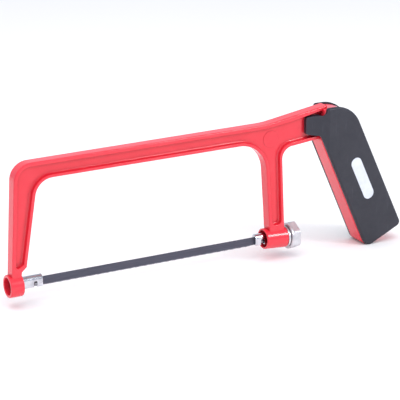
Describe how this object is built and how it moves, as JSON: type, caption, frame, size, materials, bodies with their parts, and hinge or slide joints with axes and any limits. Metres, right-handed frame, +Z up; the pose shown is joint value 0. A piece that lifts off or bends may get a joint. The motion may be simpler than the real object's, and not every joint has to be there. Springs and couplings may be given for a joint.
{
  "type": "junior hacksaw",
  "caption": "Junior hacksaw with a ribbed die-cast bow frame, pistol grip, pinned blade and rear screw tensioner.",
  "frame": {"origin": "bottom centre of the whole saw's box, under the middle of its length, level with the lowest point of the grip", "axes": "+X along the blade from the front holder to the grip, +Y to the saw's right-hand side, +Z up from the blade to the bow's back"},
  "size_m": [0.2564, 0.0172, 0.0904],
  "materials": {
    "frame_paint": "gloss red coating on die-cast metal",
    "grip_plastic": "fine-grained dark moulded plastic",
    "plate": "plain satin pale plate",
    "chrome": "plated, turned and milled",
    "knob_metal": "satin plated",
    "zinc_steel": "zinc plated",
    "brass": "turned",
    "blade_paint": "blue-black coating on spring steel"
  },
  "bodies": {
    "saw_frame": {"frame": "frame_paint", "grip_cover_left": "grip_plastic", "grip_cover_right": "grip_plastic", "grip_plate": "plate", "grip_screws": "zinc_steel", "grip_screw_inserts": "brass", "front_blade_holder": "chrome", "front_holder_washer": "zinc_steel", "front_lock_washer": "zinc_steel", "front_holder_screw": "zinc_steel", "thrust_washer": "zinc_steel"},
    "blade": {"blade": "blade_paint", "blade_pin_front": "zinc_steel", "blade_pin_rear": "zinc_steel"},
    "rear_holder": {"rear_blade_holder": "chrome"},
    "knob": {"tension_knob": "knob_metal", "knob_bush": "zinc_steel"}
  },
  "joints": [
    {"name": "knob_spin", "type": "hinge", "parent": "saw_frame", "child": "knob", "pos_m": [0.055, 0, 0.01233], "axis": [1, 0, 0], "range_deg": [0, 360]},
    {"name": "rear_holder_slide", "type": "slide", "parent": "saw_frame", "child": "rear_holder", "axis": [-1, 0, 0], "range_m": [0, 0.000801]},
    {"name": "blade_release", "type": "slide", "parent": "saw_frame", "child": "blade", "axis": [0, 0, -1], "range_m": [0, 0.007]}
  ],
  "couplings": [
    {"joint": "rear_holder_slide", "follows": "knob_spin", "m_per_rad": 0.00012732}
  ]
}
